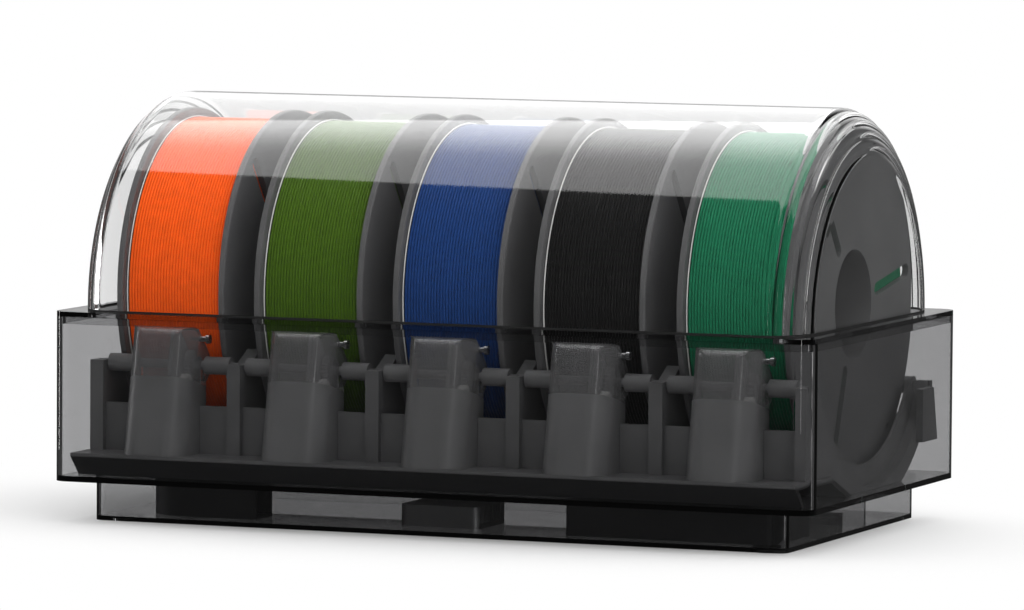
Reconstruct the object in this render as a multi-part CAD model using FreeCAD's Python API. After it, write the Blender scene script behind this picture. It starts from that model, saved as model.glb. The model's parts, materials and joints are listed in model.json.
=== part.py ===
import FreeCAD, Part
import math
import os
from FreeCAD import Vector

# Filament dryer box: a smoked tub with a clear domed lid, in which five spools lie on
# driven rollers over a heated plinth. Millimetres, +X along the row of spools, +Y to the
# back, +Z up, origin under the middle of the feet.

# Spools, standing side by side on one axis along X
SPOOL_COUNT = 5
SPOOL_RADIUS = 100.0
SPOOL_WIDTH = 66.0
SPOOL_GAP = 18.3
FLANGE_THICKNESS = 3.6
FLANGE_CHAMFER = 0.6
HUB_BORE_RADIUS = 30.5
HUB_WALL = 2.5
FLANGE_SLOTS = 3
FLANGE_SLOT_WIDTH = 7.5
FLANGE_SLOT_START = 8.5
SLOT_HUB_MARGIN = 3.0
SLOT_RIM_MARGIN = 5.5
TIE_HOLE_RADIUS = 1.7
TIE_HOLE_RIM_MARGIN = 7.0

# Filament on each spool: an outer layer of turns over a plain core
WINDING_RIM_DEPTH = 5.6
FILAMENT_DIAMETER = 1.7
WINDING_TURNS = 24
WINDING_END_ROOM = 0.25
WINDING_CORE_GAP = 0.15

# Tub, plinth and deck
WALL = 3.0
FLOOR = 3.0
TUB_CORNER_RADIUS = 10.0
SPOOL_FLOOR_GAP = 2.5
SPOOL_RISE = 9.8
DECK_THICKNESS = 3.0
DECK_END_MARGIN = 10.0
DECK_FRONT_MARGIN = 5.5
DECK_REAR_MARGIN = 5.0
DECK_LIP_DEPTH = 4.0
DECK_LIP_WALL = 1.8
DECK_LIP_GAP = 0.2
DECK_OPENING_CORNER = 16.0
SEAL_LEDGE = 3.0
SEAL_THICKNESS = 1.0
VENT_LENGTH = 60.0
VENT_WIDTH = 6.0
VENT_SPACING = 16.0
PLINTH_HEIGHT = 22.5
PLINTH_SCREW_GAP = 0.7
PLINTH_FRONT_INSET = 15.0
PLINTH_REAR_INSET = 16.0
PLINTH_WALL = 2.5
PLINTH_CORNER_RADIUS = 6.0
PARTITION_Y = 24.0
PARTITION_WALL = 2.0
FOOT_RADIUS = 8.0
FOOT_STAND = 1.0
FOOT_RECESS = 1.0
FOOT_INSET = 16.0
FOOT_FIT = 0.1

# Domed lid and its hinges
DOME_WALL = 2.0
SPOOL_END_GAP = 13.0
SPOOL_SET_BACK = 10.5
SPOOL_TOP_GAP = 2.6
DOME_END_DEPTH = 21.0
DOME_END_DROP = 32.0
DOME_RIDGES = 6
DOME_GROOVE = 0.8
HINGE_RADIUS = 2.2
HINGE_PIN_RADIUS = 1.0
HINGE_GAP = 0.4
HINGE_SPAN = 220.0
KNUCKLE_LENGTH = 20.0
EAR_LENGTH = 6.0
HINGE_END_PLAY = 0.3
RUNNING_FIT = 0.05

# Rollers under the spools
ROLLER_RADIUS = 5.0
ROLLER_SPOOL_GAP = 0.3
FRONT_ROLLER_DROP = 40.0
REAR_ROLLER_DROP = 52.0
SHAFT_RADIUS = 2.5
JOURNAL_RADIUS = 2.0
JOURNAL_END_GAP = 0.5
SLEEVE_LENGTH = 15.5
SLEEVE_POST_GAP = 1.0
GEAR_MODULE = 0.75
GEAR_TEETH = 20
GEAR_WIDTH = 4.0
GEAR_X = 12.5
GEAR_BACKLASH = 0.2
GEAR_CENTRE_EXTRA = 0.1
PRESSURE_ANGLE = 20.0
PINION_SET_FORWARD = 8.0

# Drive towers: housing below a sloping parting plane, smoked gear cover above it
TOWER_WIDTH = 39.0
TOWER_LEAN = 11.0
TOWER_REACH = 21.5
TOWER_BACK_REACH = 4.4
TOWER_CORNER_RADIUS = 13.0
HOUSING_WALL = 2.0
COVER_WALL = 1.6
COVER_RISE = 22.0
COVER_TOP_RADIUS = 7.0
COVER_GEAR_GAP = 0.6
PARTING_DROP = 5.0
PARTING_SLOPE = 15.5
SHAFT_SLOT_GAP = 0.5
GEAR_PLATE_X = 7.0
GEAR_PLATE_THICKNESS = 2.0
GEAR_PLATE_GAP = 0.3
MOTOR_RADIUS = 6.0
MOTOR_FLAT = 5.0
MOTOR_LENGTH = 21.0
MOTOR_SHAFT_RADIUS = 1.5
COVER_PIN_RADIUS = 1.6
COVER_PIN_HEAD_RADIUS = 2.6
COVER_PIN_HEAD = 2.0
COVER_PIN_REACH = 5.5
COVER_PIN_FORWARD = 2.6
COVER_PIN_RISE = 15.0

# Cradle: front shelf, ribs between the spools, rear rail
SHELF_HEIGHT = 13.0
SHELF_THICKNESS = 3.0
SHELF_FRONT_GAP = 2.0
SHELF_LIP = 2.0
SHELF_BEVEL = 11.0
SHELF_TOP_DEPTH = 52.0
SHELF_REAR_SLOPE = 34.0
SHELF_END_MARGIN = 1.5
LOW_WALL_HEIGHT = 27.0
LOW_WALL_THICKNESS = 3.0
LOW_WALL_SET_FORWARD = 2.0
TOWER_SIDE_GAP = 0.3
RIB_THICKNESS = 8.0
RIB_OUTER_EXTRA = 12.0
RIB_INNER_LESS = 16.0
POST_FRONT = 9.0
POST_REAR = 6.0
POST_TOP = 1.5
RIB_HORN_RISE = 8.5
END_RIB_GAP = 1.2
RIB_BACK = 6.0
RIB_BACK_TOP = 2.5
RAIL_DEPTH = 8.0
RAIL_HEIGHT = 10.0
RAIL_SET_FORWARD = 10.0
RAIL_DROP = 25.5
EAR_PLATE_THICKNESS = 4.0
EAR_PLATE_DEPTH = 26.0
EAR_PLATE_HEIGHT = 30.0
EAR_PLATE_TAPER = 7.0
EAR_PLATE_SET_FORWARD = 3.0
SCREW_RADIUS = 1.5
SCREW_HEAD_RADIUS = 2.8
SCREW_HEAD = 1.6
SCREW_BITE = 6.5
SCREW_FIT = 0.1
SCREW_SPREAD = 37.0
SCREW_SHELF_GAP = 4.8

# Units in the plinth
UNIT_TOP_GAP = 1.0
UNIT_FRONT_GAP = 15.5
BLOWER_END_GAP = 18.5
BLOWER_RADIUS = 28.0
BLOWER_WALL = 1.6
BLOWER_INLET_RADIUS = 15.0
BLOWER_SPOUT_LENGTH = 44.0
BLOWER_SPOUT_WIDTH = 22.0
ROTOR_GAP = 2.5
ROTOR_FLOOR_GAP = 0.5
ROTOR_HUB_RADIUS = 8.0
ROTOR_POST_RADIUS = 2.0
ROTOR_BLADES = 18
ROTOR_BLADE_LENGTH = 5.0
ROTOR_BLADE_THICKNESS = 1.0
ROTOR_DISC = 1.2
HEATER_SET_LEFT = 6.5
HEATER_LENGTH = 49.0
HEATER_DEPTH = 40.0
HEATER_HEIGHT = 12.0
HEATER_CORNER_RADIUS = 5.0
HEATER_FINS = 9
HEATER_FIN_GAP = 3.0
HEATER_BASE = 3.0
CONTROL_END_GAP = 11.5
CONTROL_LENGTH = 121.0
CONTROL_DEPTH = 60.0
CONTROL_CORNER_RADIUS = 3.0
INLET_END_GAP = 44.5
INLET_WIDTH = 24.0
INLET_HEIGHT = 12.0
INLET_DEPTH = 16.0
INLET_WALL = 2.0
INLET_FLANGE = 2.0
INLET_FLANGE_THICKNESS = 1.5
INLET_PIN_RADIUS = 1.2
INLET_PIN_SPACING = 8.6
PANEL_FIT = 0.1

# Sizes that follow from the driving dimensions
tub_bottom = FOOT_STAND + PLINTH_HEIGHT
tub_floor = tub_bottom + FLOOR
spool_z = tub_floor + SPOOL_FLOOR_GAP + SPOOL_RADIUS
deck_top = spool_z - SPOOL_RISE
deck_bottom = deck_top - DECK_THICKNESS
dome_z = deck_top + SEAL_THICKNESS
dome_inner_radius = SPOOL_RADIUS + math.hypot(SPOOL_SET_BACK, spool_z - dome_z) + SPOOL_TOP_GAP
dome_radius = dome_inner_radius + DOME_WALL
spool_pitch = SPOOL_WIDTH + SPOOL_GAP
row_length = (SPOOL_COUNT - 1) * spool_pitch + SPOOL_WIDTH
dome_length = row_length + 2 * (SPOOL_END_GAP + DOME_WALL)
tub_length = dome_length + 2 * DECK_END_MARGIN
tub_depth = 2 * dome_radius + DECK_FRONT_MARGIN + DECK_REAR_MARGIN
tub_front = -tub_depth / 2
dome_y = tub_front + DECK_FRONT_MARGIN + dome_radius
spool_y = dome_y + SPOOL_SET_BACK
stations = [(i - (SPOOL_COUNT - 1) / 2) * spool_pitch for i in range(SPOOL_COUNT)]
boundaries = [(i - SPOOL_COUNT / 2) * spool_pitch for i in range(SPOOL_COUNT + 1)]

roller_distance = SPOOL_RADIUS + ROLLER_RADIUS + ROLLER_SPOOL_GAP
front_y = spool_y - math.sqrt(roller_distance**2 - FRONT_ROLLER_DROP**2)
front_z = spool_z - FRONT_ROLLER_DROP
rear_y = spool_y + math.sqrt(roller_distance**2 - REAR_ROLLER_DROP**2)
rear_z = spool_z - REAR_ROLLER_DROP
post_inside = (spool_pitch - RIB_THICKNESS) / 2
journal_end = spool_pitch / 2 - JOURNAL_END_GAP
sleeve_outer = post_inside - SLEEVE_POST_GAP
sleeve_inner = sleeve_outer - SLEEVE_LENGTH

gear_pitch_radius = GEAR_MODULE * GEAR_TEETH / 2
gear_outer_radius = gear_pitch_radius + GEAR_MODULE
gear_distance = 2 * gear_pitch_radius + GEAR_CENTRE_EXTRA
pinion_y = front_y - PINION_SET_FORWARD
pinion_z = front_z - math.sqrt(gear_distance**2 - PINION_SET_FORWARD**2)
mesh_angle = math.degrees(math.atan2(pinion_z - front_z, pinion_y - front_y))

shelf_top = tub_floor + SHELF_HEIGHT
shelf_front = tub_front + WALL + SHELF_FRONT_GAP
shelf_back = shelf_front + SHELF_TOP_DEPTH
shelf_foot = shelf_back + SHELF_REAR_SLOPE
rib_end = boundaries[-1] + RIB_THICKNESS / 2
unit_floor = FOOT_STAND + PLINTH_WALL
unit_top = tub_bottom - SCREW_HEAD - UNIT_TOP_GAP


def box(x0, x1, y0, y1, z0, z1):
    return Part.makeBox(x1 - x0, y1 - y0, z1 - z0, Vector(x0, y0, z0))


def rod(radius, x0, x1, y, z):
    """Cylinder along X."""
    return Part.makeCylinder(radius, x1 - x0, Vector(x0, y, z), Vector(1, 0, 0))


def post(radius, x, y, z0, z1):
    """Cylinder along Z."""
    return Part.makeCylinder(radius, z1 - z0, Vector(x, y, z0))


def side_prism(points, x0, x1):
    """Polygon of (y, z) points, drawn out along X."""
    corners = [Vector(x0, y, z) for y, z in points]
    return Part.Face(Part.makePolygon(corners + corners[:1])).extrude(Vector(x1 - x0, 0, 0))


def rounded_face(length, depth, radius, z, x=0.0, y=0.0):
    """Level rectangle with round corners, centred on x and y."""
    points = []
    arcs = {}
    for side_x, side_y in ((1, -1), (1, 1), (-1, 1), (-1, -1)):
        centre_x = x + side_x * (length / 2 - radius)
        centre_y = y + side_y * (depth / 2 - radius)
        ends = [Vector(centre_x, centre_y + side_y * radius, z),
                Vector(centre_x + side_x * radius, centre_y, z)]
        points += ends if side_x != side_y else ends[::-1]
        arcs[len(points) - 2] = Vector(centre_x + side_x * radius * math.sqrt(0.5),
                                       centre_y + side_y * radius * math.sqrt(0.5), z)
    return Part.Face(outline(points, arcs))


def rounded_block(length, depth, radius, z0, z1, x=0.0, y=0.0):
    """Upright block with round vertical edges, centred on x and y."""
    return rounded_face(length, depth, radius, z0, x, y).extrude(Vector(0, 0, z1 - z0))


def moved(shape, x):
    copy = shape.copy()
    copy.translate(Vector(x, 0, 0))
    return copy


def joined(shapes):
    return shapes[0].fuse(shapes[1:]).removeSplitter()


def write(name, *solids):
    shape = solids[0] if len(solids) == 1 else Part.makeCompound(list(solids))
    shape.exportStep("parts/" + name + ".step")


def outline(points, arcs):
    """Closed wire through points; arcs gives a middle point for the edge that starts there."""
    edges = []
    for i, start in enumerate(points):
        end = points[(i + 1) % len(points)]
        if i in arcs:
            edges.append(Part.Arc(start, arcs[i], end).toShape())
        else:
            edges.append(Part.makeLine(start, end))
    return Part.Wire(edges)


def polar(y, z, radius, degrees, x=0.0):
    """Point on a circle in a plane across X, with the angle from +Y towards +Z."""
    turn = math.radians(degrees)
    return Vector(x, y + radius * math.cos(turn), z + radius * math.sin(turn))


# Tub: open box with round corners, air slots in the floor and holes for the rib screws
screw_rows = (shelf_foot + SCREW_SHELF_GAP + SCREW_RADIUS, spool_y + SCREW_SPREAD)
screw_places = [(x, y) for x in boundaries for y in screw_rows]


def make_tub():
    outer = rounded_block(tub_length, tub_depth, TUB_CORNER_RADIUS, tub_bottom, deck_bottom)
    inner = rounded_block(tub_length - 2 * WALL, tub_depth - 2 * WALL,
                          TUB_CORNER_RADIUS - WALL, tub_floor, deck_top)
    cuts = [inner]
    for station in stations:
        for side in (-1, 1):
            cuts.append(rounded_block(VENT_WIDTH, VENT_LENGTH, VENT_WIDTH * 0.49, tub_bottom - FLOOR,
                                      tub_floor + FLOOR, station + side * VENT_SPACING, spool_y))
    for x, y in screw_places:
        cuts.append(post(SCREW_RADIUS + SCREW_FIT, x, y, tub_bottom - FLOOR, tub_floor + FLOOR))
    return outer.cut(cuts)


# Plinth: tray under the tub with foot recesses and the inlet's cut-out, and a partition set in it
plinth_length = 2 * (boundaries[-1] - SCREW_HEAD_RADIUS - PLINTH_SCREW_GAP)
plinth_depth = tub_depth - PLINTH_FRONT_INSET - PLINTH_REAR_INSET
plinth_y = (PLINTH_FRONT_INSET - PLINTH_REAR_INSET) / 2
plinth_front = plinth_y - plinth_depth / 2
plinth_back = plinth_y + plinth_depth / 2
inlet_x = plinth_length / 2 - PLINTH_WALL - INLET_END_GAP - INLET_WIDTH / 2
inlet_z = (unit_floor + tub_bottom) / 2
foot_x = plinth_length / 2 - FOOT_INSET
foot_y = plinth_depth / 2 - FOOT_INSET
foot_places = [(sx * foot_x, plinth_y + sy * foot_y) for sx in (-1, 1) for sy in (-1, 1)]


def make_plinth():
    outer = rounded_block(plinth_length, plinth_depth, PLINTH_CORNER_RADIUS,
                          FOOT_STAND, tub_bottom, 0, plinth_y)
    inner = rounded_block(plinth_length - 2 * PLINTH_WALL, plinth_depth - 2 * PLINTH_WALL,
                          PLINTH_CORNER_RADIUS - PLINTH_WALL, unit_floor, tub_bottom + WALL, 0, plinth_y)
    tray = outer.cut(inner)
    half = plinth_length / 2 - PLINTH_WALL
    partition = box(-half, half, PARTITION_Y - PARTITION_WALL / 2, PARTITION_Y + PARTITION_WALL / 2,
                    unit_floor, tub_bottom - UNIT_TOP_GAP)
    cuts = [post(FOOT_RADIUS + FOOT_FIT, x, y, 0, FOOT_STAND + FOOT_RECESS) for x, y in foot_places]
    half_width = INLET_WIDTH / 2 + PANEL_FIT
    half_height = INLET_HEIGHT / 2 + PANEL_FIT
    cuts.append(box(inlet_x - half_width, inlet_x + half_width, plinth_back - 2 * PLINTH_WALL,
                    plinth_back + PLINTH_WALL, inlet_z - half_height, inlet_z + half_height))
    return [tray.cut(cuts), partition]


def make_feet():
    return [post(FOOT_RADIUS, x, y, 0, FOOT_STAND + FOOT_RECESS) for x, y in foot_places]


# Deck on the tub's rim: flat frame with a lip that drops inside the tub's wall
opening_length = dome_length - 2 * (DOME_WALL + SEAL_LEDGE)
opening_depth = 2 * (dome_inner_radius - SEAL_LEDGE)


def make_rim_frame():
    plate = rounded_block(tub_length, tub_depth, TUB_CORNER_RADIUS, deck_bottom, deck_top)
    lip_inset = 2 * (WALL + DECK_LIP_GAP)
    lip_corner = TUB_CORNER_RADIUS - WALL - DECK_LIP_GAP
    lip = rounded_block(tub_length - lip_inset, tub_depth - lip_inset, lip_corner,
                        deck_bottom - DECK_LIP_DEPTH, deck_bottom)
    core = rounded_block(tub_length - lip_inset - 2 * DECK_LIP_WALL,
                         tub_depth - lip_inset - 2 * DECK_LIP_WALL, lip_corner - DECK_LIP_WALL,
                         deck_bottom - DECK_LIP_DEPTH, deck_bottom)
    opening = rounded_block(opening_length, opening_depth, DECK_OPENING_CORNER,
                            deck_bottom - DECK_THICKNESS, deck_top + DECK_THICKNESS, 0, dome_y)
    return joined([plate.cut(opening), lip.cut(core)])


# Lid: half turn of a thin profile whose ends fall off in rounded rings, over a flat seal
hinge_y = dome_y + dome_radius + HINGE_RADIUS + HINGE_GAP
hinge_z = dome_z + HINGE_RADIUS
hinge_places = (-HINGE_SPAN / 2, HINGE_SPAN / 2)


def dome_end(side, inset, groove):
    """Quarter ellipse from the crown to the flat of one end, as (x, radius) points and arc middles.

    The arcs bulge to the ellipse, and meet in grooves below it."""
    def place(step, depth):
        turn = math.radians(90.0 * step / DOME_RIDGES)
        x = dome_length / 2 - DOME_END_DEPTH + (DOME_END_DEPTH - depth) * math.sin(turn)
        return side * x, dome_radius - DOME_END_DROP + (DOME_END_DROP - depth) * math.cos(turn)

    points = [place(step, inset + groove) for step in range(DOME_RIDGES + 1)]
    points[0] = place(0, inset)
    points[-1] = place(DOME_RIDGES, inset)
    middles = [place(step + 0.5, inset) for step in range(DOME_RIDGES)]
    return points, middles


def dome_arch(inset, groove, way):
    """Both ends of the profile, from one flat over the crown to the other, rising on side -way."""
    rise_points, rise_middles = dome_end(-way, inset, groove)
    fall_points, fall_middles = dome_end(way, inset, groove)
    points = rise_points[::-1] + fall_points
    middles = rise_middles[::-1] + [None] + fall_middles
    return points, middles


def dome_wire(arches, place):
    """Closed wire through several arches, each (x, radius) set in space by place(x, radius, arch)."""
    points = []
    arcs = {}
    for number, (ends, middles) in enumerate(arches):
        for i, middle in enumerate(middles):
            if middle:
                arcs[len(points) + i] = place(*middle, number)
        points += [place(*end, number) for end in ends]
    return outline(points, arcs)


def make_lid_seal():
    """Frame as wide as the lid's wall, cut to the lid's outline at its foot."""
    def plan(inset):
        arches = [dome_arch(inset, 0, -1), dome_arch(inset, 0, 1)]
        wire = dome_wire(arches, lambda x, r, arch: Vector(x, dome_y + (r, -r)[arch], deck_top))
        return Part.Face(wire).extrude(Vector(0, 0, SEAL_THICKNESS))

    return plan(0).cut(plan(DOME_WALL))


def make_lid():
    out = dome_length / 2
    into = out - DOME_WALL
    over_points, over_middles = dome_arch(0, DOME_GROOVE, 1)
    under_points, under_middles = dome_arch(DOME_WALL, 0, -1)
    arches = [([(-out, 0)] + over_points + [(out, 0)], [None] + over_middles + [None]),
              ([(into, 0)] + under_points + [(-into, 0)], [None] + under_middles + [None])]
    profile = Part.Face(dome_wire(arches, lambda x, r, arch: Vector(x, dome_y + r, dome_z)))
    shell = profile.revolve(Vector(0, dome_y, dome_z), Vector(1, 0, 0), 180)
    for x in hinge_places:
        half = KNUCKLE_LENGTH / 2
        leaf = box(x - half, x + half, dome_y + dome_radius - DOME_WALL / 2, hinge_y,
                   dome_z, hinge_z + HINGE_RADIUS)
        barrel = rod(HINGE_RADIUS, x - half, x + half, hinge_y, hinge_z)
        shell = joined([shell, leaf, barrel])
        shell = shell.cut(rod(HINGE_PIN_RADIUS + RUNNING_FIT, x - half, x + half, hinge_y, hinge_z))
    return shell


def make_hinge_brackets():
    ears = []
    for x in hinge_places:
        for side in (-1, 1):
            near = x + side * (KNUCKLE_LENGTH / 2 + HINGE_END_PLAY)
            x0, x1 = sorted((near, near + side * EAR_LENGTH))
            foot = box(x0, x1, hinge_y - HINGE_RADIUS, hinge_y + HINGE_RADIUS, deck_top, hinge_z)
            ear = joined([foot, rod(HINGE_RADIUS, x0, x1, hinge_y, hinge_z)])
            ears.append(ear.cut(rod(HINGE_PIN_RADIUS, x0, x1, hinge_y, hinge_z)))
    return ears


def make_hinge_pins():
    reach = KNUCKLE_LENGTH / 2 + HINGE_END_PLAY + EAR_LENGTH
    return [rod(HINGE_PIN_RADIUS, x - reach, x + reach, hinge_y, hinge_z) for x in hinge_places]


# Spool: two revolved flanges with radial slots and tie holes, pressed on a barrel
hub_radius = HUB_BORE_RADIUS + HUB_WALL
flange_inside = SPOOL_WIDTH / 2 - FLANGE_THICKNESS


def make_flange(x0, x1):
    bevel = FLANGE_CHAMFER
    flat = [(x0, hub_radius), (x1, hub_radius), (x1, SPOOL_RADIUS - bevel),
            (x1 - bevel, SPOOL_RADIUS), (x0 + bevel, SPOOL_RADIUS), (x0, SPOOL_RADIUS - bevel)]
    points = [Vector(x, spool_y + r, spool_z) for x, r in flat]
    disc = Part.Face(outline(points, {})).revolve(Vector(0, spool_y, spool_z), Vector(1, 0, 0), 360)
    slot_half = FLANGE_SLOT_WIDTH / 2
    inner = hub_radius + SLOT_HUB_MARGIN + slot_half
    outer = SPOOL_RADIUS - SLOT_RIM_MARGIN - slot_half
    cuts = []
    for number in range(FLANGE_SLOTS):
        angle = FLANGE_SLOT_START + 360.0 * number / FLANGE_SLOTS
        bar = box(x0, x1, spool_y + inner, spool_y + outer, spool_z - slot_half, spool_z + slot_half)
        ends = [rod(slot_half, x0, x1, spool_y + r, spool_z) for r in (inner, outer)]
        slot = joined([bar] + ends)
        slot.rotate(Vector(0, spool_y, spool_z), Vector(1, 0, 0), angle)
        hole = polar(spool_y, spool_z, SPOOL_RADIUS - TIE_HOLE_RIM_MARGIN, angle + 180.0 / FLANGE_SLOTS)
        cuts += [slot, rod(TIE_HOLE_RADIUS, x0, x1, hole.y, hole.z)]
    return disc.cut(cuts)


def make_spool():
    half = SPOOL_WIDTH / 2
    barrel = rod(hub_radius, -half, half, spool_y, spool_z)
    barrel = barrel.cut(rod(HUB_BORE_RADIUS, -half, half, spool_y, spool_z))
    return [make_flange(-half, -flange_inside), make_flange(flange_inside, half), barrel]


# Filament: core of the inner layers, and the outer layer as one unbroken tube
winding_radius = SPOOL_RADIUS - WINDING_RIM_DEPTH - FILAMENT_DIAMETER / 2
core_radius = winding_radius - FILAMENT_DIAMETER / 2 - WINDING_CORE_GAP
winding_length = 2 * (flange_inside - WINDING_END_ROOM - 2 * FILAMENT_DIAMETER)
winding_pitch = winding_length / WINDING_TURNS


def make_filament_core():
    half = flange_inside - WINDING_END_ROOM
    outer = rod(core_radius, -half, half, spool_y, spool_z)
    return outer.cut(rod(hub_radius + WINDING_CORE_GAP, -half, half, spool_y, spool_z))


def biarc(start, start_way, end, end_way):
    """Two tangent arcs from start to end that keep both directions."""
    gap = end - start
    ways = start_way + end_way
    bend = 1 - start_way.dot(end_way)
    reach = (math.sqrt(gap.dot(ways)**2 + 2 * bend * gap.dot(gap)) - gap.dot(ways)) / (2 * bend)
    joint = (start + end + (start_way - end_way) * reach) * 0.5

    def middle(point, way):
        chord = joint - point
        across = way - chord * (way.dot(chord) / chord.dot(chord))
        across.normalize()
        return point + chord * 0.5 + across * (chord.Length / 2 * math.tan(way.getAngle(chord) / 2))

    return [Part.Arc(start, middle(start, start_way), joint).toShape(),
            Part.Arc(joint, middle(end, end_way * -1), end).toShape()]


def winding_path():
    """Helix in half turns, with both ends turned square to the flanges."""
    lead = winding_pitch / (2 * math.pi)

    def place(turn):
        return Vector(lead * turn - winding_length / 2, spool_y + winding_radius * math.cos(turn),
                      spool_z + winding_radius * math.sin(turn))

    def way(turn):
        along = Vector(lead, -winding_radius * math.sin(turn), winding_radius * math.cos(turn))
        return along.normalize()

    axis = Vector(1, 0, 0)
    last = 2 * math.pi * WINDING_TURNS
    bend = FILAMENT_DIAMETER
    head = place(0) - (way(0) + axis) * bend
    tail = place(last) + (way(last) + axis) * bend
    edges = [Part.makeLine(head - axis * FILAMENT_DIAMETER, head)]
    edges += biarc(head, axis, place(0), way(0))
    for half_turn in range(2 * WINDING_TURNS):
        turn = math.pi * half_turn
        edges += biarc(place(turn), way(turn), place(turn + math.pi), way(turn + math.pi))
    edges += biarc(place(last), way(last), tail, axis)
    edges.append(Part.makeLine(tail, tail + axis * FILAMENT_DIAMETER))
    return Part.Wire(edges)


def make_winding():
    path = winding_path()
    start = path.OrderedVertexes[0].Point
    section_sides = 8
    corners = []
    for side in range(section_sides):
        corners.append(polar(start.y, start.z, FILAMENT_DIAMETER / 2,
                             360.0 * (side + 0.5) / section_sides, start.x))
    section = Part.makePolygon(corners + corners[:1])
    print_least_gap(path)
    return path.makePipeShell([section], True, False)


def print_least_gap(path):
    """Least clear distance between stretches of the tube over a quarter turn apart."""
    per_turn = 60
    points = path.discretize(Number=per_turn * WINDING_TURNS)
    least = winding_radius
    for i, point in enumerate(points):
        for j in range(i + per_turn // 4, min(i + 2 * per_turn, len(points) - 1)):
            least = min(least, point.distanceToLineSegment(points[j], points[j + 1]).Length)
    print("least gap of the winding to itself, mm:", round(least - FILAMENT_DIAMETER, 3))


# Gears with involute flanks, each flank one arc through three points
def make_gear(y, z, x0, x1, first_tooth):
    base = gear_pitch_radius * math.cos(math.radians(PRESSURE_ANGLE))
    root = gear_pitch_radius - 1.25 * GEAR_MODULE
    half_tooth = (math.pi * GEAR_MODULE / 2 - GEAR_BACKLASH) / 2 / gear_pitch_radius

    def involute(radius):
        turn = math.sqrt(max((radius / base)**2 - 1, 0))
        return turn - math.atan(turn)

    def flank(radius):
        return math.degrees(half_tooth + involute(gear_pitch_radius) - involute(radius))

    middle_radius = (base + gear_outer_radius) / 2
    points = []
    arcs = {}
    for tooth in range(GEAR_TEETH):
        centre = first_tooth + 360.0 * tooth / GEAR_TEETH
        for side in (-1, 1):
            radii = (root, base, gear_outer_radius)[::-side]
            for number, radius in enumerate(radii):
                points.append(polar(y, z, radius, centre + side * flank(max(radius, base)), x0))
                rising = side < 0 and number == 1
                falling = side > 0 and number == 0
                if rising or falling:
                    angle = centre + side * flank(middle_radius)
                    arcs[len(points) - 1] = polar(y, z, middle_radius, angle, x0)
    return Part.Face(outline(points, arcs)).extrude(Vector(x1 - x0, 0, 0))


def make_drive_roller():
    """Shaft with its gear as one moulding, and two roller sleeves."""
    shaft = rod(SHAFT_RADIUS, -post_inside + SLEEVE_POST_GAP / 2, post_inside - SLEEVE_POST_GAP / 2,
                front_y, front_z)
    journals = rod(JOURNAL_RADIUS, -journal_end, journal_end, front_y, front_z)
    gear = make_gear(front_y, front_z, GEAR_X - GEAR_WIDTH / 2, GEAR_X + GEAR_WIDTH / 2, mesh_angle)
    sleeves = []
    for x0, x1 in ((-sleeve_outer, -sleeve_inner), (sleeve_inner, sleeve_outer)):
        tube = rod(ROLLER_RADIUS, x0, x1, front_y, front_z)
        sleeves.append(tube.cut(rod(SHAFT_RADIUS + RUNNING_FIT, x0, x1, front_y, front_z)))
    return [joined([shaft, journals, gear])] + sleeves


def make_rear_roller():
    reach = post_inside - SLEEVE_POST_GAP
    barrel = rod(ROLLER_RADIUS, -reach, reach, rear_y, rear_z)
    return joined([barrel, rod(JOURNAL_RADIUS, -journal_end, journal_end, rear_y, rear_z)])


def make_pinion():
    gap_angle = mesh_angle + 180.0 + 180.0 / GEAR_TEETH
    gear = make_gear(pinion_y, pinion_z, GEAR_X - GEAR_WIDTH / 2, GEAR_X + GEAR_WIDTH / 2, gap_angle)
    stub = rod(MOTOR_SHAFT_RADIUS, GEAR_PLATE_X - MOTOR_LENGTH / 2, GEAR_X, pinion_y, pinion_z)
    return joined([gear, stub])


def make_motor():
    front = GEAR_PLATE_X
    body = rod(MOTOR_RADIUS, front - MOTOR_LENGTH, front, pinion_y, pinion_z)
    flats = box(front - MOTOR_LENGTH, front, pinion_y - MOTOR_RADIUS, pinion_y + MOTOR_RADIUS,
                pinion_z - MOTOR_FLAT, pinion_z + MOTOR_FLAT)
    bore = rod(MOTOR_SHAFT_RADIUS + RUNNING_FIT, front - MOTOR_LENGTH / 2 - RUNNING_FIT, front,
               pinion_y, pinion_z)
    return body.common(flats).cut(bore)


# Towers: a side outline drawn across the tower, crossed with a leaning round-fronted column
lean = math.tan(math.radians(TOWER_LEAN))
cover_gear_radius = gear_outer_radius + COVER_GEAR_GAP + COVER_WALL
tower_back = front_y + TOWER_BACK_REACH
cover_top = front_z + COVER_RISE


def front_line(z):
    return front_y - TOWER_REACH + (z - front_z) * lean


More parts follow.
